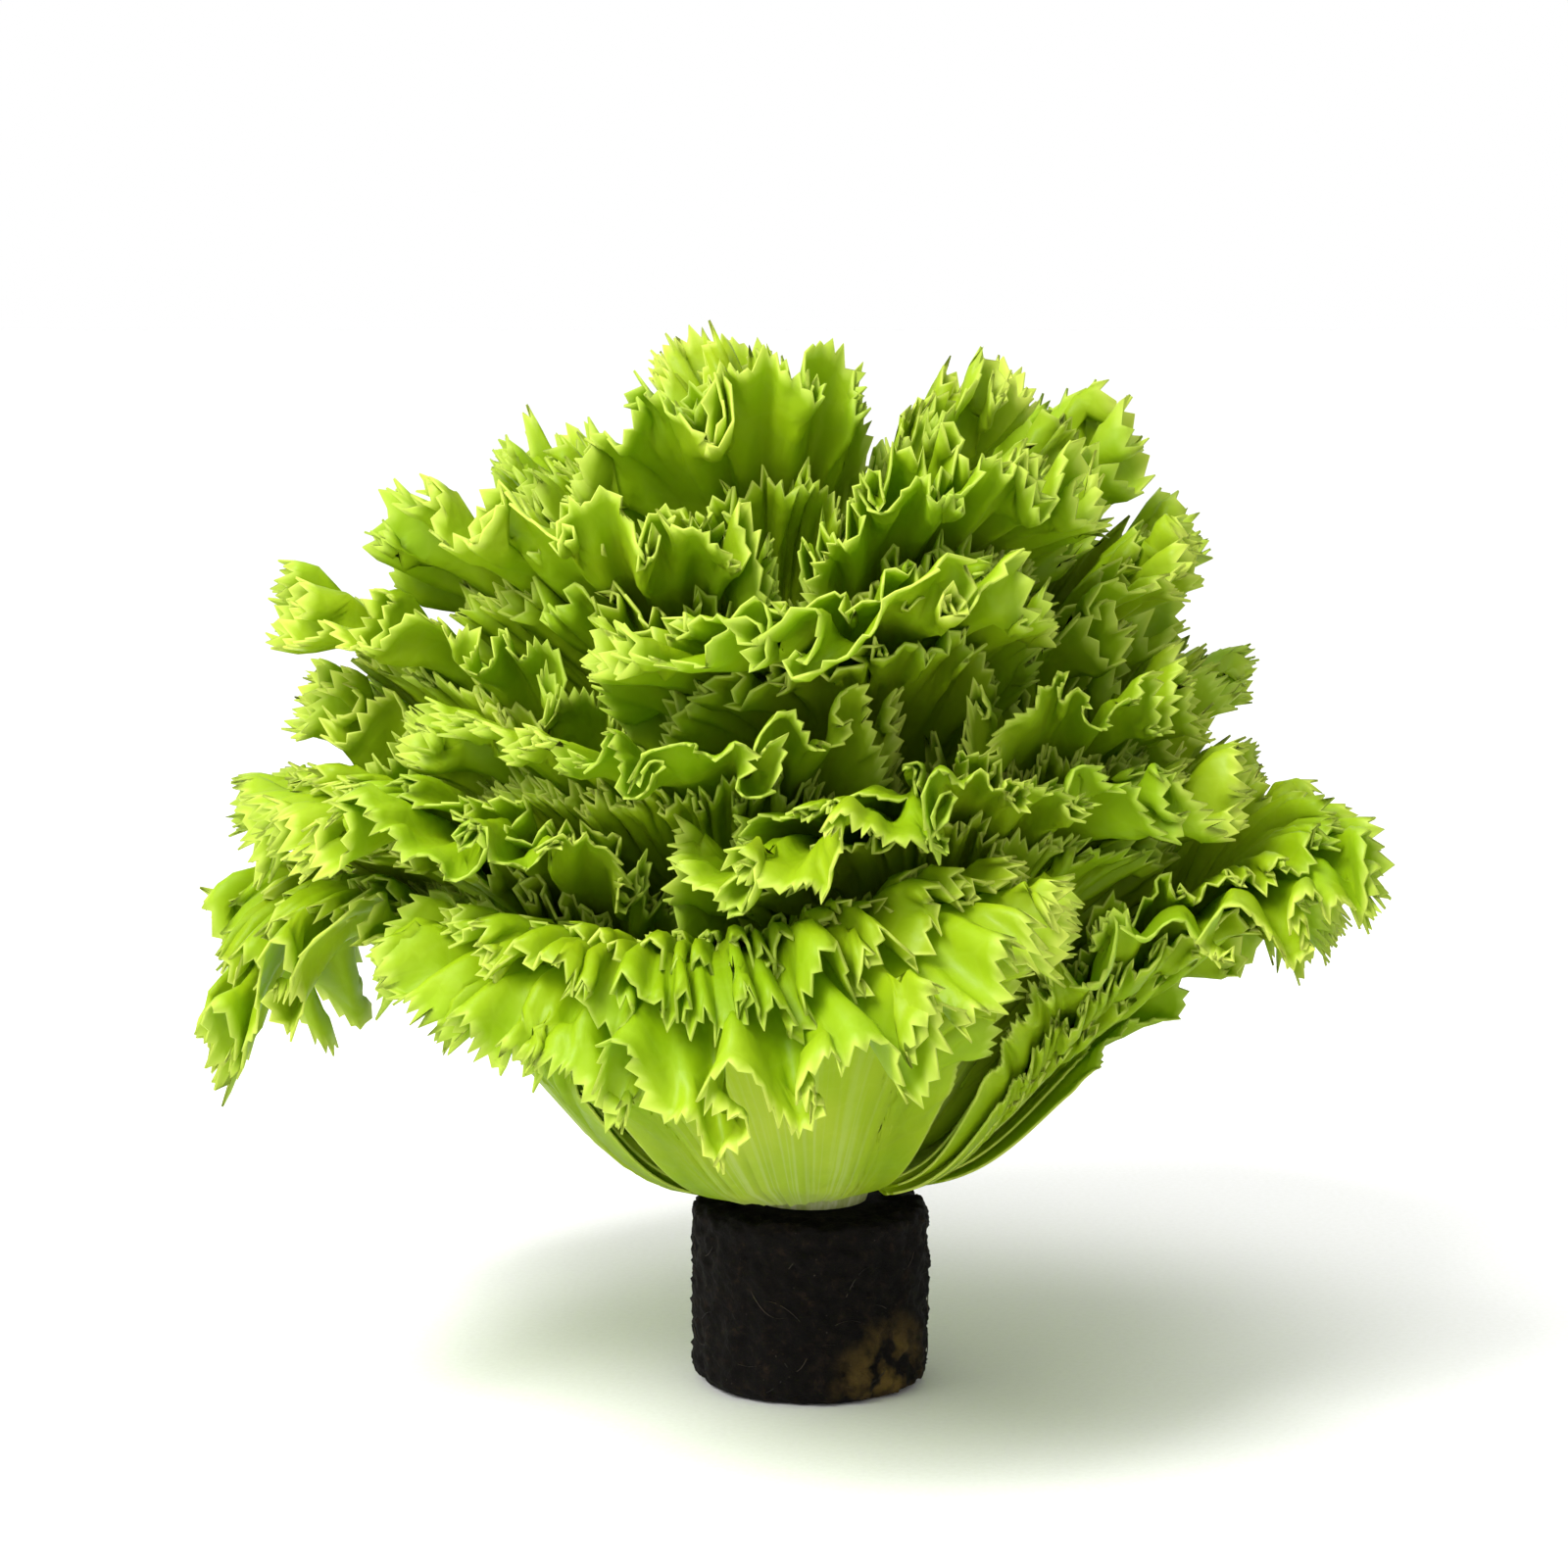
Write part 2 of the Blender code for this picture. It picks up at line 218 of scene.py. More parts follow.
def body_width(part):
    """Half the span of the blade at this part of its length, in degrees, as if its tip were square."""
    return HALF_SPAN * np.where(
        part < NECK,
        BASE_WIDTH + (NECK_WIDTH - BASE_WIDTH) * part / NECK,
        NECK_WIDTH + (1.0 - NECK_WIDTH) * smooth((part - NECK) / (WIDEST - NECK)),
    )


def margin_line(count, length, layer):
    """Points evenly along the blade's margin, from its right neck over the tip to its left neck.

    Each is a place across the body, from -1 to +1, and a distance along the blade."""
    part = NECK + (1.0 - NECK) * np.sin(np.linspace(0.0, 0.5 * math.pi, OUTLINE_STEPS))
    beyond = np.clip((part - WIDEST) / (1.0 - WIDEST), 0.0, 1.0)
    across = (1.0 - beyond**BLUNTNESS) ** (1.0 / BLUNTNESS)
    across = np.concatenate([-across, across[-2::-1]])
    part = np.concatenate([part, part[-2::-1]])
    outline = head_point(length * part, across * body_width(part), layer)
    steps = np.linalg.norm(np.diff(outline, axis=0), axis=1)
    travelled = np.concatenate([[0.0], np.cumsum(steps)])
    stops = np.linspace(0.0, travelled[-1], count + 1)
    return np.interp(stops, travelled, across), length * np.interp(stops, travelled, part)


# Flat sheets that the leaves are made from, with the base at -1 and the margin at +1. Beyond each inner
# height a sheet is split once more, so that its margin has the most points. The places say how far along the
# blade those heights come to lie. A lobe is a frilled flap that grows out of a blade's face.
BLADE_COLUMNS = (51, 35)
BLADE_ROWS = 5
BLADE_CUTS = 2
BLADE_HEIGHTS = (-1.0, 0.2, 0.6, 0.8, 0.95, 1.0)
BLADE_PLACES = (0.0, 0.62, 0.76, 0.86, 0.955, 1.0)
LOBE_COLUMNS = (142, 92)
LOBE_ROWS = 3
LOBE_CUTS = 1
LOBE_HEIGHTS = (-1.0, -0.333333, 0.666667, 1.0)
LOBE_PLACES = (0.0, 0.22, 0.80, 1.0)


def flat_sheet(name, columns, rows, lower_cuts, heights):
    """A flat sheet that is split finer and finer towards the margin, with its lower rows cut across too."""
    bpy.ops.mesh.primitive_grid_add(x_subdivisions=columns, y_subdivisions=rows, size=2.0)
    sheet = bpy.context.object
    sheet.name = name
    bpy.ops.object.mode_set(mode="EDIT")
    mesh = bmesh.from_edit_mesh(sheet.data)
    uprights = [edge for edge in mesh.edges if edge.verts[0].co.y != edge.verts[1].co.y]
    lower = [edge for edge in uprights if max(corner.co.y for corner in edge.verts) < heights[1] + 0.001]
    bmesh.ops.subdivide_edges(mesh, edges=lower, cuts=lower_cuts)
    bmesh.update_edit_mesh(sheet.data)
    for line in heights[1:-1]:
        bpy.ops.mesh.select_all(action="DESELECT")
        mesh = bmesh.from_edit_mesh(sheet.data)
        for face in mesh.faces:
            if face.calc_center_median().y > line:
                face.select_set(True)
        bmesh.update_edit_mesh(sheet.data)
        bpy.ops.mesh.subdivide(number_cuts=1)
    bpy.ops.mesh.select_all(action="SELECT")
    bpy.ops.mesh.quads_convert_to_tris()
    bpy.ops.object.mode_set(mode="OBJECT")
    return sheet


# The frill: a margin that has grown several times longer than the blade is wide, so that it folds and curls
# in the room between its neighbours. It is grown from a straight line on a flat strip that repeats. For each
# kind: the strip's length, how far it may go to each side, the gap between its walls, and its growth.
BLADE_FRILL = (0.220, 0.0054, 0.0023, 5.2)
LOBE_FRILL = (0.240, 0.0042, 0.0023, 4.8)
BLADE_SEEDS = (7, 8)
LOBE_SEEDS = (9, 10)
MARGIN_POINTS = 1024
STAGES = 24
ROUNDS = 36

# What starts the line's waves, and the slow swirls that curl it over while it grows.
SEED_WAVES = (22, 29, 34, 40, 46)
SEED_HEIGHT = 0.0003
SWIRLS = (13, 21, 28, 35, 41, 47, 53, 59)
SWIRL_STEEPNESS = 900.0
SWIRL_PUSH = 0.00005
SWIRL_HASTE = 1.6

# How strongly the line keeps its length, its straightness, its distance from itself and its band, and the
# longest step that a point takes in one round. Points nearer along the line than this part of the gap don't
# push each other away.
STRETCH_PULL = 0.45
BEND_PULLS = ((1, 0.45), (2, 0.12), (4, 0.05))
WALL_PUSH = 0.22
BAND_PUSH = 0.5
NEIGHBOURS = 1.35
LONGEST_STEP = 0.0005
BLUR = (-2, -1, 0, 1, 2)


def beside(points, count, strip_length):
    """From each point to the one so many places further on. The strip's end joins its start."""
    other = np.roll(points, -count, axis=0)
    other[-count:, 0] += strip_length
    return other - points


def grown_margin(strip_length, band, wall_gap, growth, chance):
    """How far the margin's points have moved at each stage of its growth: along the strip and across it."""
    start = strip_length * np.arange(MARGIN_POINTS) / MARGIN_POINTS
    turns = 2.0 * math.pi * np.arange(MARGIN_POINTS) / MARGIN_POINTS
    waves = [SEED_HEIGHT * np.sin(wave * turns + chance.uniform(0.0, 2.0 * math.pi)) for wave in SEED_WAVES]
    points = np.stack([start, sum(waves)], axis=1)
    swirls = [
        (
            2.0 * math.pi * count / strip_length,
            chance.uniform(-SWIRL_STEEPNESS, SWIRL_STEEPNESS),
            chance.uniform(0.0, 2.0 * math.pi),
        )
        for count in SWIRLS
    ]
    stages = [points.copy()]
    for stage in range(1, STAGES + 1):
        rest = strip_length / MARGIN_POINTS * growth ** (stage / STAGES)
        nearest = max(3, int(NEIGHBOURS * wall_gap / rest))
        farthest = int(2.0 * math.pi * band / rest) + nearest
        strength = SWIRL_PUSH * min(1.0, SWIRL_HASTE * stage / STAGES)
        for _ in range(ROUNDS):
            step = beside(points, 1, strip_length)
            length = np.maximum(np.linalg.norm(step, axis=1), 1e-9)
            pull = STRETCH_PULL * step * (1.0 - rest / length)[:, None]
            push = pull - np.roll(pull, 1, axis=0)
            for reach, stiffness in BEND_PULLS:
                ahead = beside(points, reach, strip_length)
                push += 0.5 * stiffness * (ahead - np.roll(ahead, reach, axis=0))
            for reach in range(nearest, farthest, 2):
                step = beside(points, reach, strip_length)
                apart = np.sqrt((step**2).sum(axis=1))
                near = np.clip(1.0 - apart / wall_gap, 0.0, 1.0)
                if near.max() > 0.0:
                    shove = (WALL_PUSH * wall_gap * near / np.maximum(apart, 1e-6))[:, None] * step
                    push += np.roll(shove, reach, axis=0) - shove
            for lie, steep, phase in swirls:
                swirl = np.sin(lie * points[:, 0] + steep * points[:, 1] + phase)
                wave = strength * swirl / math.hypot(lie, steep)
                push[:, 0] += wave * steep
                push[:, 1] -= wave * lie
            over = np.clip(np.abs(points[:, 1]) - band, 0.0, None)
            push[:, 1] -= BAND_PUSH * np.sign(points[:, 1]) * over
            size = np.linalg.norm(push, axis=1)[:, None]
            points = points + push * np.minimum(1.0, LONGEST_STEP / np.maximum(size, 1e-12))
        stages.append(points.copy())
    grown = np.array(stages)
    grown[:, :, 0] -= start
    return sum(np.roll(grown, shift, axis=1) for shift in BLUR) / len(BLUR)


blade_margins = [grown_margin(*BLADE_FRILL, random.Random(seed)) for seed in BLADE_SEEDS]
lobe_margins = [grown_margin(*LOBE_FRILL, random.Random(seed)) for seed in LOBE_SEEDS]

# Where a blade's frill starts, as a part of the way from its base to its margin, and how fast it opens.
CURL_FROM = 0.74
SLOW_FLARE = 1.8
FAST_FLARE = 5

# Broad shallow folds start lower down and run on to the margin. They drift, so that no two are equally wide:
# how far, in radians, and how often.
FOLD_FROM = 0.56
FOLD_SPACING = 0.015
FOLD_DEPTH = 0.0030
FOLD_BULGE = 0.0006
LONG_DRIFT = (1.1, 0.31)
SHORT_DRIFT = (0.8, 0.53)

# How deep a frill is that fills its room, which is so many steps of layer to each side, and more outside the
# leaves that have no neighbour there. Where the room is narrow the whole pattern shrinks, down to the lower
# scale. A lobe's frill keeps to one side of its blade's room: round this part of it, and so much each way.
FRILL_DEPTH = 0.0062
LOBE_DEPTH = 0.0048
SWING_LIMIT = 1.85
OUTSIDE_LIMIT = 2.6
FREE_LEAVES = 3
SCALES = (0.5, 1.0)
AT_MARGIN = 0.99
LOBE_CENTRE = 0.58
LOBE_SWING = 0.46
LOBE_RISE = 0.6
INWARD = -0.1

# The margin's ends next to the stem stay plain for so far along the blade, and come to life over a run.
STILL_NECK = 0.040
NECK_RUN = 0.040

# The frill leans so as to face this way, in degrees from the upright, as far as the limits allow.
FACING = 82.0
LEAN_LIMITS = (-24.0, 34.0)

# Teeth and notches take turns along the margin: their heights, as parts of a tooth, and how far they are
# shifted sideways, as a part of the distance between two of the margin's points.
TOOTH = 0.0030
TOOTH_HEIGHTS = (0.30, 1.15)
NOTCH_HEIGHTS = (-0.30, 0.10)
TOOTH_SHIFT = 0.45

# The blade is thick and juicy at the rib of its base and thin at the frilled margin.
RIB_THICKNESS = 0.0018
MARGIN_THICKNESS = 0.00045
RIB_FADE = 1.5
SIDE_THINNING = 0.6

# A lobe's foot has the tone that the blade has this far along it.
LOBE_FOOT_TONE = 0.45


def flare(part):
    """How much the frill has grown here: slowly at first, then fast like the rim of a trumpet."""
    part = np.clip(part, 0.0, 1.0)
    return 0.5 * part**SLOW_FLARE + 0.5 * part**FAST_FLARE


def leaf_facts(number, chance):
    """One leaf's place in the head, and its margin as the solids have it."""
    count = POINTS_OUTER if number < FIRST_INNER_LEAF else POINTS_INNER
    azimuth = leaf_azimuth(number)
    layer = leaf_layer(number)
    length = leaf_length(number, chance)
    lobe_phase = chance.uniform(0.0, 2.0 * math.pi)
    for _ in range(SOLID_DRAWS * (count + 1)):
        chance.random()
    end_across, end_path = margin_line(count, length, layer)
    stops = np.linspace(-1.0, 1.0, count + 1)
    end_offset = end_across * body_width(end_path / length)
    still = smooth((1.0 - np.abs(stops)) / CALM_ENDS) * min(1.0, layer / CALM_LAYER)
    lobes = LOBE * np.sin(math.pi * LOBES * stops + lobe_phase)
    end_path = end_path + still * (lobes + swell(azimuth + end_offset, layer))
    end_points = head_point(end_path, azimuth + end_across * body_width(end_path / length), layer)
    width = np.linalg.norm(np.diff(end_points, axis=0), axis=1).sum()
    return {
        "number": number,
        "azimuth": azimuth,
        "layer": layer,
        "length": length,
        "stops": stops,
        "end_across": end_across,
        "end_path": end_path,
        "width": width,
        "fold_phase": lobe_phase,
    }


def lay(leaf, place, along):
    """Where these places of a leaf lie before it swings: distance along the blade, azimuth and layer."""
    across_end = np.interp(place, leaf["stops"], leaf["end_across"])
    path_end = np.interp(place, leaf["stops"], leaf["end_path"])
    bend = 2.0 * along * (1.0 - along)
    elbow_out = ELBOW_OUT + (1.0 - ELBOW_OUT) * np.abs(place) ** ELBOW_SIDE
    path = path_end * (along**2 + bend * ELBOW_UP)
    across = place * (1.0 - along) ** 2 + across_end * (along**2 + bend * elbow_out)
    offset = across * body_width(path / leaf["length"])
    return path, leaf["azimuth"] + offset, leaf["layer"] - LAYER_STEP * offset / HALF_SPAN


def room_across(path, turn, own_layer):
    """How much room a step of layer gives here, straight across the blade."""
    outer = swung_point(path, turn, own_layer, 0.5 * LAYER_STEP)
    inner = swung_point(path, turn, own_layer, -0.5 * LAYER_STEP)
    return np.linalg.norm(outer - inner, axis=1)


def read_growth(grown, stage, spot):
    """How far a grown margin has moved at these stages and spots, which may lie between its points."""
    moved = np.zeros((len(spot), 2))
    for late in (0, 1):
        step = np.minimum(stage.astype(int) + late, STAGES)
        for ahead in (0, 1):
            point = (spot.astype(int) + ahead) % MARGIN_POINTS
            weight = np.abs(1 - late - stage % 1.0) * np.abs(1 - ahead - spot % 1.0)
            moved += weight[:, None] * grown[step, point]
    return moved


def fold_phase(place, leaf):
    """How far through its broad folds a leaf is at these places across it, in radians."""
    even = math.pi * place * leaf["width"] / FOLD_SPACING
    long_drift = LONG_DRIFT[0] * np.sin(LONG_DRIFT[1] * even + leaf["fold_phase"])
    short_drift = SHORT_DRIFT[0] * np.sin(SHORT_DRIFT[1] * even)
    return even + long_drift + short_drift + leaf["fold_phase"]


def cut_teeth(points, flat, free, chance):
    """Moves the margin's points out into teeth and in to notches by turns, and a little to the side."""
    rows = np.unique(flat[:, 1].round(6))
    margin = np.flatnonzero(np.abs(flat[:, 1] - rows[-1]) < 1e-5)
    inner = np.flatnonzero(np.abs(flat[:, 1] - rows[-2]) < 1e-5)
    margin = margin[np.argsort(flat[margin, 0])]
    inner = inner[np.argsort(flat[inner, 0])]
    outward = points[margin] - points[inner]
    outward = outward / np.linalg.norm(outward, axis=1)[:, None]
    onward = np.gradient(points[margin], axis=0)
    tall = [chance.uniform(*(TOOTH_HEIGHTS if count % 2 else NOTCH_HEIGHTS)) for count in range(len(margin))]
    shift = [chance.uniform(-TOOTH_SHIFT, TOOTH_SHIFT) for _ in margin]
    points[margin] += outward * (TOOTH * np.array(tall) * free[margin])[:, None]
    points[margin] += onward * (np.array(shift) * free[margin])[:, None]


def thicken(thing, along, place):
    """Turns a sheet into a closed skin, thickest in the middle of its base."""
    group = thing.vertex_groups.new(name="thickness")
    to_margin = (1.0 - along) ** RIB_FADE
    to_sides = 1.0 - SIDE_THINNING * np.abs(place)
    thick = MARGIN_THICKNESS + (RIB_THICKNESS - MARGIN_THICKNESS) * to_margin * to_sides
    for index, weight in enumerate((thick / RIB_THICKNESS).tolist()):
        group.add([index], weight, "REPLACE")
    blade = thing.modifiers.new("blade", "SOLIDIFY")
    blade.thickness = RIB_THICKNESS
    blade.offset = 0.0
    blade.vertex_group = "thickness"
    bpy.ops.object.select_all(action="DESELECT")
    thing.select_set(True)
    bpy.context.view_layer.objects.active = thing
    bpy.ops.object.modifier_apply(modifier="blade")
    bpy.ops.object.shade_smooth()


def grow(name, sheet, leaf, heights, places, root, reach, side, chance):
    """A blade or a lobe: a copy of a flat sheet, laid out in its leaf from root to reach, and frilled.

    A lobe keeps to one side of the blade that it grows from: +1 is the outer face and -1 the inner one. A
    blade's side is 0."""
    thing = sheet.copy()
    thing.data = sheet.data.copy()
    thing.name = name
    bpy.context.collection.objects.link(thing)
    flat = np.empty(len(thing.data.vertices) * 3)
    thing.data.vertices.foreach_get("co", flat)
    flat = flat.reshape(-1, 3)
    place = flat[:, 0]
    part = np.interp(flat[:, 1], heights, places)
    along = root + (reach - root) * part
    free = smooth((np.interp(place, leaf["stops"], leaf["end_path"]) - STILL_NECK) / NECK_RUN)

    path, turn, own_layer = lay(leaf, place, along)
    room = room_across(path, turn, own_layer)
    centre = LOBE_CENTRE * side * smooth(part / LOBE_RISE)
    outward_limit = OUTSIDE_LIMIT if leaf["number"] < FREE_LEAVES else SWING_LIMIT
    limit = np.where(centre > INWARD, outward_limit, SWING_LIMIT)
    fit = (LOBE_SWING / LOBE_DEPTH if side else 1.0 / FRILL_DEPTH) * limit * room
    scale = float(np.clip(np.median(fit[part > AT_MARGIN]), *SCALES))
    fit = np.minimum(fit, scale)

    grown = (lobe_margins if side else blade_margins)[leaf["number"] % 2]
    strip_length = scale * (LOBE_FRILL if side else BLADE_FRILL)[0]
    spot = (0.5 * place * leaf["width"] / strip_length + chance.random()) % 1.0 * MARGIN_POINTS
    stage = STAGES * flare(part if side else (along - CURL_FROM) / (1.0 - CURL_FROM))
    moved = read_growth(grown, stage, spot) * free[:, None]
    grown_fold = free * smooth((along - FOLD_FROM) / (1.0 - FOLD_FROM)) * fit
    phase = fold_phase(place, leaf)
    flip = 1.0 if chance.random() < 0.5 else -1.0
    forth = moved[:, 0] * fit - FOLD_BULGE * grown_fold**2 * np.sin(2.0 * phase)
    aside = flip * moved[:, 1] * fit + FOLD_DEPTH * grown_fold * np.sin(phase)

    swing = limit * centre + aside / np.maximum(room, 1e-5)
    path, turn, own_layer = lay(leaf, place + 2.0 * forth / leaf["width"], along)
    lean = np.tan(np.radians(np.clip(heading(path, own_layer) - FACING, *LEAN_LIMITS)))
    path = path + lean * swing * room
    points = swung_point(path, turn, own_layer, LAYER_STEP * swing)
    cut_teeth(points, flat, free, chance)
    thing.data.vertices.foreach_set("co", points.astype(np.float32).ravel())
    thing.data.update()
    if side:
        spots = thing.data.uv_layers.active.data
        laid = np.empty(len(spots) * 2)
        spots.foreach_get("uv", laid)
        laid[1::2] = LOBE_FOOT_TONE + (1.0 - LOBE_FOOT_TONE) * laid[1::2]
        spots.foreach_set("uv", laid)
    thicken(thing, along, place)
    return thing


# The lobes of each kind of leaf: where each grows from and reaches to along the blade, and on which face.
OUTER_LOBES = ((0.46, 0.68, -1), (0.52, 0.80, -1), (0.60, 0.90, -1))
SHOWN_LOBES = ((0.40, 0.66, 1), (0.50, 0.83, 1), (0.60, 0.90, -1))
MIDDLE_LOBES = ((0.44, 0.84, 1), (0.50, 0.88, -1))
SINGLE_LOBE = ((0.44, 0.84, 1),)
INNER_LOBES = ((0.50, 0.84, 1), (0.56, 0.90, -1))
SHOWN_OUTSIDE = (4, 5)
FIRST_MIDDLE_LEAF = 6
FIRST_SINGLE_LEAF = 10


def lobes_of(number):
    """The lobes of a leaf, as (root, reach, face)."""
    if number >= FIRST_INNER_LEAF:
        return INNER_LOBES
    if number >= FIRST_SINGLE_LEAF:
        return SINGLE_LOBE
    if number >= FIRST_MIDDLE_LEAF:
        return MIDDLE_LOBES
    return SHOWN_LOBES if number in SHOWN_OUTSIDE else OUTER_LOBES


bpy.ops.object.select_all(action="DESELECT")
blade_sheets = [flat_sheet("blade_sheet", n, BLADE_ROWS, BLADE_CUTS, BLADE_HEIGHTS) for n in BLADE_COLUMNS]
lobe_sheets = [flat_sheet("lobe_sheet", n, LOBE_ROWS, LOBE_CUTS, LOBE_HEIGHTS) for n in LOBE_COLUMNS]
FRILL_SEED = 100
chance = random.Random(SEED)
leaves = []
for number in range(LEAVES):
    size = 0 if number < FIRST_INNER_LEAF else 1
    own = random.Random(FRILL_SEED + number)
    facts = leaf_facts(number, chance)
    lobes = [
        grow("lobe", lobe_sheets[size], facts, LOBE_HEIGHTS, LOBE_PLACES, root, reach, side, own)
        for root, reach, side in lobes_of(number)
    ]
    name = f"leaf_blade_{number + 1:02d}"
    leaf = grow(name, blade_sheets[size], facts, BLADE_HEIGHTS, BLADE_PLACES, 0.0, 1.0, 0, own)
    for lobe in lobes:
        lobe.select_set(True)
    bpy.ops.object.join()
    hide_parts(f"leaf_{number + 1:02d}")
    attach(leaf, "root")
    leaves.append(leaf)
for sheet in blade_sheets + lobe_sheets:
    bpy.data.objects.remove(sheet, do_unlink=True)


def linear(hex_colour):
    """A colour as sRGB hex, turned into the linear numbers that shaders take."""
    parts = [int(hex_colour[i : i + 2], 16) / 255.0 for i in (1, 3, 5)]
    return (*[p / 12.92 if p <= 0.04045 else ((p + 0.055) / 1.055) ** 2.4 for p in parts], 1.0)


def add_node(material, kind, inputs, **settings):
    """Adds a node with its settings. An input is a value, or the socket that feeds it."""
    node = material.node_tree.nodes.new("ShaderNode" + kind)
    for name, value in settings.items():
        setattr(node, name, value)
    for name, value in inputs.items():
        if isinstance(value, bpy.types.NodeSocket):
            material.node_tree.links.new(value, node.inputs[name])
        else:
            node.inputs[name].default_value = value
    return node


def ramp(material, factor, stops):
    """A colour ramp through stops of (place, colour)."""
    node = add_node(material, "ValToRGB", {"Fac": factor})
    band = node.color_ramp
    while len(band.elements) < len(stops):
        band.elements.new(0.5)
    for element, (place, colour) in zip(band.elements, stops):
        element.position = place
        element.color = linear(colour)
    return node.outputs["Color"]


def start_material(name):
    """A new material with its own output and nothing else."""
    material = bpy.data.materials.new(name)
    material.use_nodes = True
    material.node_tree.nodes.clear()
    return material


def mix_colour(material, factor, first, second, blend="MIX"):
    """Two colours mixed by a factor, each a colour or a socket."""
    node = material.node_tree.nodes.new("ShaderNodeMix")
    node.data_type = "RGBA"
    node.blend_type = blend
    for socket, value in ((node.inputs[0], factor), (node.inputs[6], first), (node.inputs[7], second)):
        if isinstance(value, bpy.types.NodeSocket):
            material.node_tree.links.new(value, socket)
        else:
            socket.default_value = value
    return node.outputs[2]


def per_metre(millimetres):
    """A pattern's scale, from the size of one of its patches in millimetres."""
    return 1000.0 / millimetres


# Lettuce leaf: a thin moist skin over pale juicy flesh, that lets light through. Pale ribs fan out from the
# base, and the very edge is a thin pale line. The net of veins and the blisters between them are drawn as
# coarse as they need to show. The ribs are counted across a blade and along it.
RIBS_ACROSS = 52.0
RIBS_ALONG = 1.4
leaf_skin = start_material("lettuce leaf")
spot = add_node(leaf_skin, "TexCoord", {})
place = add_node(leaf_skin, "SeparateXYZ", {"Vector": spot.outputs["UV"]})
body = ramp(
    leaf_skin,
    place.outputs["Y"],
    (
        (0.0, "#cfdb8c"),
        (0.14, "#c8d94c"),
        (0.34, "#adc622"),
        (0.72, "#94b00e"),
        (0.95, "#a4c012"),
        (0.99, "#b0ca22"),
        (1.0, "#dcea66"),
    ),
)
tone = add_node(
    leaf_skin, "TexNoise", {"Vector": spot.outputs["Object"], "Scale": per_metre(26.3), "Detail": 4.0}
)
tone_range = add_node(
    leaf_skin,
    "MapRange",
    {"Value": tone.outputs["Fac"], "From Min": 0.35, "From Max": 0.68, "To Min": 0.0, "To Max": 0.55},
)
body = mix_colour(leaf_skin, tone_range.outputs["Result"], body, linear("#8cb80a"))
fan = add_node(leaf_skin, "Mapping", {"Vector": spot.outputs["UV"], "Scale": (RIBS_ACROSS, RIBS_ALONG, 1.0)})
ribs = add_node(
    leaf_skin,
    "TexNoise",
    {"Vector": fan.outputs["Vector"], "Scale": 1.0, "Detail": 3.0, "Roughness": 0.55},
)
rib_line = ramp(leaf_skin, ribs.outputs["Fac"], ((0.50, "#000000"), (0.62, "#ffffff")))
rib_fade = ramp(leaf_skin, place.outputs["Y"], ((0.02, "#a0a0a0"), (0.30, "#5a5a5a"), (0.62, "#000000")))
rib_share = mix_colour(leaf_skin, 1.0, rib_line, rib_fade, "MULTIPLY")
body = mix_colour(leaf_skin, rib_share, body, linear("#dce3ae"))
net = add_node(
    leaf_skin,
    "TexVoronoi",
    {"Vector": spot.outputs["Object"], "Scale": per_metre(5.88), "Randomness": 0.9},
    feature="DISTANCE_TO_EDGE",
)
vein = ramp(leaf_skin, net.outputs["Distance"], ((0.0, "#3c3c3c"), (0.09, "#000000")))
body = mix_colour(leaf_skin, vein, body, linear("#cfdf62"))
blister = add_node(
    leaf_skin, "TexNoise", {"Vector": spot.outputs["Object"], "Scale": per_metre(3.85), "Detail": 2.0}
)
relief = add_node(
    leaf_skin, "Math", {0: blister.outputs["Fac"], 1: net.outputs["Distance"]}, operation="ADD"
)
bump = add_node(leaf_skin, "Bump", {"Height": relief.outputs[0], "Strength": 0.35, "Distance": 0.0006})
shine = add_node(
    leaf_skin,
    "MapRange",
    {"Value": blister.outputs["Fac"], "From Min": 0.3, "From Max": 0.7, "To Min": 0.36, "To Max": 0.56},
)
leaf_shader = add_node(
    leaf_skin,
    "BsdfPrincipled",
    {
        "Base Color": body,
        "Roughness": shine.outputs["Result"],
        "Specular IOR Level": 0.22,
        "Normal": bump.outputs["Normal"],
    },
)
leaf_glow = add_node(leaf_skin, "BsdfTranslucent", {"Color": body, "Normal": bump.outputs["Normal"]})
leaf_mix = add_node(leaf_skin, "MixShader", {0: 0.40, 1: leaf_shader.outputs[0], 2: leaf_glow.outputs[0]})
add_node(leaf_skin, "OutputMaterial", {"Surface": leaf_mix.outputs[0]})
for leaf in leaves:
    leaf.data.materials.clear()
    leaf.data.materials.append(leaf_skin)


# The stem: a short dome of pale crisp flesh that carries the leaves, on a collar set in the plug. It keeps
# the solid's form. The fibres in its flesh run upwards and show as fine pale streaks.
STREAK_SCALE = (per_metre(1.11), per_metre(1.11), per_metre(8.33))
stem_flesh = start_material("lettuce stem flesh")
spot = add_node(stem_flesh, "TexCoord", {})
streak = add_node(stem_flesh, "Mapping", {"Vector": spot.outputs["Object"], "Scale": STREAK_SCALE})
streaks = add_node(stem_flesh, "TexNoise", {"Vector": streak.outputs["Vector"], "Scale": 1.0, "Detail": 3.0})
flesh = ramp(stem_flesh, streaks.outputs["Fac"], ((0.3, "#a9b85c"), (0.55, "#c6cf86"), (0.75, "#dde2ae")))
bump = add_node(stem_flesh, "Bump", {"Height": streaks.outputs["Fac"], "Strength": 0.3, "Distance": 0.0004})
stem_shader = add_node(
    stem_flesh, "BsdfPrincipled", {"Base Color": flesh, "Roughness": 0.42, "Normal": bump.outputs["Normal"]}
)
add_node(stem_flesh, "OutputMaterial", {"Surface": stem_shader.outputs[0]})
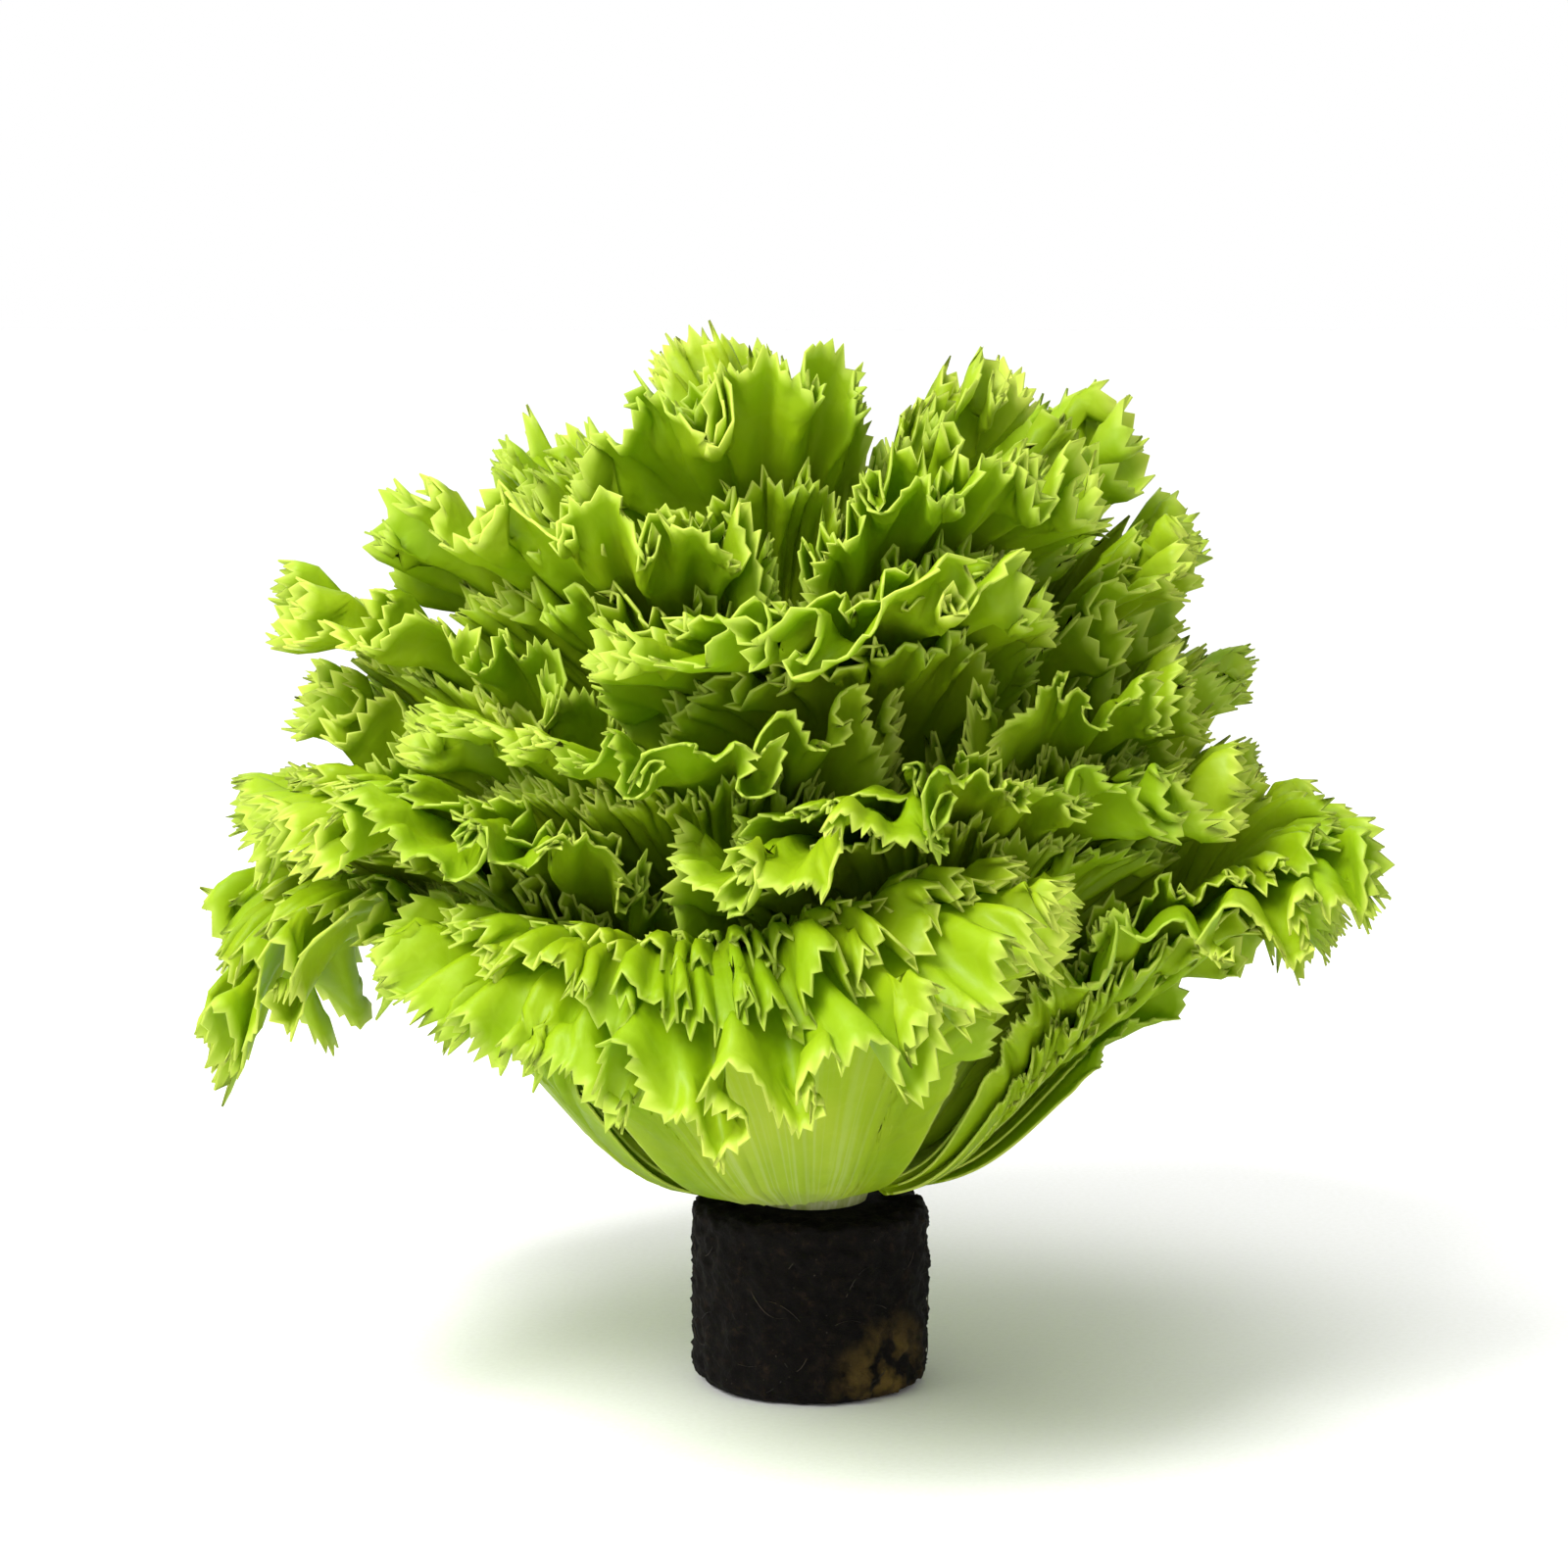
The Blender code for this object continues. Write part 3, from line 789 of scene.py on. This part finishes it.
for slot in bpy.data.objects["stem"].material_slots:
    slot.material = stem_flesh


# The plug: a pressed cylinder of dark wet peat, crumbly all over, with a hole for the stem in its top. It is
# turned from one profile as the solid is, then split finely and pushed in and out by crumbs of three sizes.
PLUG_RADIUS = 0.0226
PLUG_HEIGHT = 0.0350
PLUG_FOOT_RADIUS = 0.0185
PLUG_BROW = 0.0020
HOLE_RADIUS = 0.0093
HOLE_MIDDLE = 0.030
HOLE_FLOOR = 0.0247
PLUG_SIDES = 80
FOOT_STEPS = 12
BEND_STEPS = 6
WALL_STEPS = 20
TOP_STEPS = 7
TOP_STEP = 0.0015


def plug_profile():
    """The plug's outline from the middle of its foot to the middle of its hole, as (radius, height)."""
    foot = PLUG_RADIUS - PLUG_FOOT_RADIUS
    brow = PLUG_RADIUS - PLUG_BROW
    top = PLUG_HEIGHT - PLUG_BROW
    bends = [math.radians(90.0 * i / BEND_STEPS) for i in range(BEND_STEPS + 1)]
    outline = [(PLUG_FOOT_RADIUS * i / FOOT_STEPS, 0.0) for i in range(FOOT_STEPS)]
    outline += [(PLUG_FOOT_RADIUS + foot * math.sin(b), foot - foot * math.cos(b)) for b in bends]
    outline += [(PLUG_RADIUS, foot + (top - foot) * i / WALL_STEPS) for i in range(1, WALL_STEPS)]
    outline += [(brow + PLUG_BROW * math.cos(b), top + PLUG_BROW * math.sin(b)) for b in bends[::2]]
    outline += [(brow - TOP_STEP * i, PLUG_HEIGHT) for i in range(1, TOP_STEPS + 1)]
    outline += [(HOLE_RADIUS, height) for height in (PLUG_HEIGHT, HOLE_MIDDLE, HOLE_FLOOR)]
    return outline + [(0.0, HOLE_FLOOR)]


bpy.ops.mesh.primitive_plane_add(size=0.01)
plug = bpy.context.object
plug.name = "peat_block"
bpy.ops.object.mode_set(mode="EDIT")
mesh = bmesh.from_edit_mesh(plug.data)
bmesh.ops.delete(mesh, geom=mesh.verts[:], context="VERTS")
line = [mesh.verts.new((radius, 0.0, height)) for radius, height in plug_profile()]
for pair in zip(line, line[1:]):
    mesh.edges.new(pair)
bmesh.update_edit_mesh(plug.data)
bpy.ops.mesh.select_all(action="SELECT")
bpy.ops.mesh.spin(steps=PLUG_SIDES, angle=2.0 * math.pi, center=(0.0, 0.0, 0.0), axis=(0.0, 0.0, 1.0))
bpy.ops.mesh.select_all(action="SELECT")
bpy.ops.mesh.remove_doubles(threshold=0.00001)
bpy.ops.mesh.normals_make_consistent(inside=False)
bpy.ops.object.mode_set(mode="OBJECT")
fine = plug.modifiers.new("fine", "SUBSURF")
fine.subdivision_type = "SIMPLE"
fine.levels = 1
fine.render_levels = 1
bpy.ops.object.modifier_apply(modifier="fine")

# Each size of crumb, and how far it pushes. The rim round the hole stays even, and the foot's underside
# nearly so.
CRUMBS = ((0.0045, 0.0011), (0.0018, 0.0007), (0.0008, 0.0004))
EVEN_RIM = 0.0125
RIM_RUN = 0.004
FOOT_CRUMBS = 0.15
FOOT_RUN = 0.0015
outer = plug.vertex_groups.new(name="outer")
for vertex in plug.data.vertices:
    out = math.hypot(vertex.co.x, vertex.co.y)
    off_rim = min(1.0, max(0.0, (out - EVEN_RIM) / RIM_RUN))
    off_floor = min(1.0, max(FOOT_CRUMBS, vertex.co.z / FOOT_RUN))
    outer.add([vertex.index], off_rim * off_floor, "REPLACE")
for count, (size, depth) in enumerate(CRUMBS):
    clouds = bpy.data.textures.new(f"crumb_{count}", "CLOUDS")
    clouds.noise_scale = size
    clouds.noise_depth = 2
    crumb = plug.modifiers.new("crumb", "DISPLACE")
    crumb.texture = clouds
    crumb.texture_coords = "LOCAL"
    crumb.vertex_group = "outer"
    crumb.strength = 2.0 * depth
    crumb.mid_level = 0.55
    bpy.ops.object.modifier_apply(modifier="crumb")
for vertex in plug.data.vertices:
    vertex.co.z = max(vertex.co.z, 0.0)
bpy.ops.object.shade_smooth()
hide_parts("peat_plug")
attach(plug, "root")

# Root hairs and peat fibres that lie on the plug's wall, each a thin bent thread pressed into the crumbs.
# They lie at a slope, sag or rise in the middle, and are thinner towards their ends.
FIBRES = 60
FIBRE_SIDES = 5
FIBRE_CUTS = 6
FIBRE_RADIUS = 0.00013
FIBRE_HEIGHTS = (0.004, 0.031)
FIBRE_LENGTHS = (0.003, 0.009)
FIBRE_SLOPE = 0.9
FIBRE_SAG = 0.0022
FIBRE_TAPER = 1.3
FIBRE_SINK = 0.0001
FIBRE_LOWEST = 0.0003
FIBRE_SEED = 31
threads = random.Random(FIBRE_SEED)
fibres = []
bpy.ops.object.select_all(action="DESELECT")
for number in range(FIBRES):
    bpy.ops.mesh.primitive_cylinder_add(vertices=FIBRE_SIDES, radius=FIBRE_RADIUS, depth=1.0)
    thread = bpy.context.object
    bpy.ops.object.mode_set(mode="EDIT")
    mesh = bmesh.from_edit_mesh(thread.data)
    walls = [edge for edge in mesh.edges if abs(edge.verts[0].co.z - edge.verts[1].co.z) > 0.5]
    bmesh.ops.subdivide_edges(mesh, edges=walls, cuts=FIBRE_CUTS)
    bmesh.update_edit_mesh(thread.data)
    bpy.ops.object.mode_set(mode="OBJECT")
    turn = threads.uniform(0.0, 2.0 * math.pi)
    height = threads.uniform(*FIBRE_HEIGHTS)
    slope = threads.uniform(-FIBRE_SLOPE, FIBRE_SLOPE)
    length = threads.uniform(*FIBRE_LENGTHS)
    sag = threads.uniform(-FIBRE_SAG, FIBRE_SAG)
    for vertex in thread.data.vertices:
        run = vertex.co.z
        thin = 1.0 - FIBRE_TAPER * run * run
        round_it = turn + (run * length * math.cos(slope)) / PLUG_RADIUS + vertex.co.x * thin / PLUG_RADIUS
        up = height + run * length * math.sin(slope) + sag * (1.0 - 4.0 * run * run)
        out = PLUG_RADIUS - FIBRE_SINK + vertex.co.y * thin
        foot = PLUG_RADIUS - PLUG_FOOT_RADIUS
        if up < foot:
            out -= foot - math.sqrt(max(0.0, foot * foot - (foot - up) ** 2))
        vertex.co = (out * math.cos(round_it), out * math.sin(round_it), max(up, FIBRE_LOWEST))
    fibres.append(thread)
bpy.ops.object.select_all(action="DESELECT")
for thread in fibres:
    thread.select_set(True)
bpy.context.view_layer.objects.active = fibres[0]
bpy.ops.object.join()
fibre = bpy.context.object
fibre.name = "peat_fibres"
bpy.ops.object.shade_smooth()
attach(fibre, "root")

# Wet peat: nearly black and dull, with brown crumbs, a few pale flecks, and one lower patch where dry
# gold-brown peat shows.
PATCH_MIDDLE = (0.0150, -0.0165, 0.0040)
peat = start_material("wet peat")
spot = add_node(peat, "TexCoord", {})
crumb = add_node(
    peat,
    "TexNoise",
    {"Vector": spot.outputs["Object"], "Scale": per_metre(2.38), "Detail": 6.0, "Roughness": 0.7},
)
soil_tones = ((0.35, "#040302"), (0.55, "#0c0806"), (0.68, "#20170f"), (0.80, "#3b2f22"))
soil = ramp(peat, crumb.outputs["Fac"], soil_tones)
fleck = add_node(
    peat, "TexVoronoi", {"Vector": spot.outputs["Object"], "Scale": per_metre(1.11), "Randomness": 1.0}
)
fleck_share = ramp(peat, fleck.outputs["Distance"], ((0.05, "#8c8c8c"), (0.16, "#000000")))
scatter = add_node(
    peat, "TexNoise", {"Vector": spot.outputs["Object"], "Scale": per_metre(4.35), "Detail": 1.0}
)
scatter_share = ramp(peat, scatter.outputs["Fac"], ((0.58, "#000000"), (0.66, "#ffffff")))
fleck_share = mix_colour(peat, 1.0, fleck_share, scatter_share, "MULTIPLY")
soil = mix_colour(peat, fleck_share, soil, linear("#8a7f70"))
corner = add_node(peat, "VectorMath", {0: spot.outputs["Object"], 1: PATCH_MIDDLE}, operation="DISTANCE")
patch = add_node(
    peat,
    "MapRange",
    {"Value": corner.outputs["Value"], "From Min": 0.003, "From Max": 0.014, "To Min": 0.85, "To Max": 0.0},
)
clod = add_node(
    peat, "TexNoise", {"Vector": spot.outputs["Object"], "Scale": per_metre(5.26), "Detail": 4.0}
)
clod_share = ramp(peat, clod.outputs["Fac"], ((0.42, "#000000"), (0.60, "#ffffff")))
patch_share = mix_colour(peat, 1.0, patch.outputs["Result"], clod_share, "MULTIPLY")
soil = mix_colour(peat, patch_share, soil, linear("#6a5529"))
bump = add_node(peat, "Bump", {"Height": crumb.outputs["Fac"], "Strength": 0.9, "Distance": 0.0008})
peat_shader = add_node(
    peat,
    "BsdfPrincipled",
    {"Base Color": soil, "Roughness": 0.85, "Specular IOR Level": 0.14, "Normal": bump.outputs["Normal"]},
)
add_node(peat, "OutputMaterial", {"Surface": peat_shader.outputs[0]})
plug.data.materials.clear()
plug.data.materials.append(peat)

# Root and fibre: thin dull threads, from wet brown to pale straw.
straw = start_material("peat fibre")
spot = add_node(straw, "TexCoord", {})
stain = add_node(
    straw, "TexNoise", {"Vector": spot.outputs["Object"], "Scale": per_metre(6.25), "Detail": 2.0}
)
thread_tone = ramp(straw, stain.outputs["Fac"], ((0.40, "#150f09"), (0.58, "#33281a"), (0.72, "#66583f")))
straw_shader = add_node(straw, "BsdfPrincipled", {"Base Color": thread_tone, "Roughness": 0.75})
add_node(straw, "OutputMaterial", {"Surface": straw_shader.outputs[0]})
fibre.data.materials.clear()
fibre.data.materials.append(straw)


# The floor: a wide plain sheet of white card with the faintest grain. It stands in for the photo's plain
# white ground, and isn't part of the object.
bpy.ops.mesh.primitive_plane_add(size=12.0, location=(0.0, 0.0, 0.0))
floor = bpy.context.object
floor.name = "floor"
card = start_material("white card")
spot = add_node(card, "TexCoord", {})
grain = add_node(
    card, "TexNoise", {"Vector": spot.outputs["Object"], "Scale": per_metre(1.11), "Detail": 2.0}
)
card_tone = ramp(card, grain.outputs["Fac"], ((0.3, "#f5f5f3"), (0.7, "#fafaf9")))
card_shader = add_node(card, "BsdfPrincipled", {"Base Color": card_tone, "Roughness": 0.8})
add_node(card, "OutputMaterial", {"Surface": card_shader.outputs[0]})
floor.data.materials.append(card)


# The light: a large soft box above the front left, a wide dim light overhead, and a white room that is
# darker on the right.
HEAD_MIDDLE = 0.11


def soft_box(name, place, size, watts):
    """An area light that faces the middle of the head."""
    light = bpy.data.lights.new(name, "AREA")
    light.shape = "SQUARE"
    light.size = size
    light.energy = watts
    lamp = bpy.data.objects.new(name, light)
    bpy.context.collection.objects.link(lamp)
    lamp.location = place
    away = np.array(place) - np.array([0.0, 0.0, HEAD_MIDDLE])
    tilt = math.atan2(math.hypot(away[0], away[1]), away[2])
    lamp.rotation_euler = (tilt, 0.0, math.atan2(away[0], -away[1]))


soft_box("key_light", (-0.60, -0.72, 1.0), 0.6, 22.0)
sun = bpy.data.lights.new("ceiling_light", "SUN")
sun.energy = 0.7
sun.angle = math.radians(60.0)
bpy.context.collection.objects.link(bpy.data.objects.new("ceiling_light", sun))
room = bpy.data.worlds.new("white_room")
room.use_nodes = True
glow = room.node_tree.nodes["Background"]
way = room.node_tree.nodes.new("ShaderNodeTexCoord")
split = room.node_tree.nodes.new("ShaderNodeSeparateXYZ")
shade = room.node_tree.nodes.new("ShaderNodeMapRange")
for socket, value in (("From Min", 0.35), ("From Max", 0.95), ("To Min", 1.0), ("To Max", 0.14)):
    shade.inputs[socket].default_value = value
room.node_tree.links.new(way.outputs["Generated"], split.inputs["Vector"])
room.node_tree.links.new(split.outputs["X"], shade.inputs["Value"])
room.node_tree.links.new(shade.outputs["Result"], glow.inputs["Strength"])
glow.inputs["Color"].default_value = (1.0, 1.0, 1.0, 1.0)
bpy.context.scene.world = room
bpy.context.scene.view_settings.view_transform = "Standard"


# The camera: a little higher than the top of the head, and looking down at it by a few degrees. The front
# of the plug's foot falls on the same pixel as in the photo, and a pixel is 0.18 mm there.
CAMERA_DISTANCE = 0.80
CAMERA_TILT = math.radians(8.0)
PLUG_FRONT = 0.0185
METRES_PER_PIXEL = 0.00018
PHOTO_SIDE = 1600
FOOT_PIXEL = (828.0, 1447.0)
lens = bpy.data.cameras.new("photo_camera")
camera = bpy.data.objects.new("photo_camera", lens)
bpy.context.collection.objects.link(camera)
middle = np.array([0.0, -PLUG_FRONT, 0.0])
middle = middle + np.array([1.0, 0.0, 0.0]) * (0.5 * PHOTO_SIDE - FOOT_PIXEL[0]) * METRES_PER_PIXEL
lift = (FOOT_PIXEL[1] - 0.5 * PHOTO_SIDE) * METRES_PER_PIXEL
middle = middle + np.array([0.0, math.sin(CAMERA_TILT), math.cos(CAMERA_TILT)]) * lift
camera.location = middle - np.array([0.0, math.cos(CAMERA_TILT), -math.sin(CAMERA_TILT)]) * CAMERA_DISTANCE
camera.rotation_euler = (0.5 * math.pi - CAMERA_TILT, 0.0, 0.0)
lens.angle = 2.0 * math.atan(0.5 * PHOTO_SIDE * METRES_PER_PIXEL / (CAMERA_DISTANCE - PLUG_FRONT))
bpy.context.scene.camera = camera
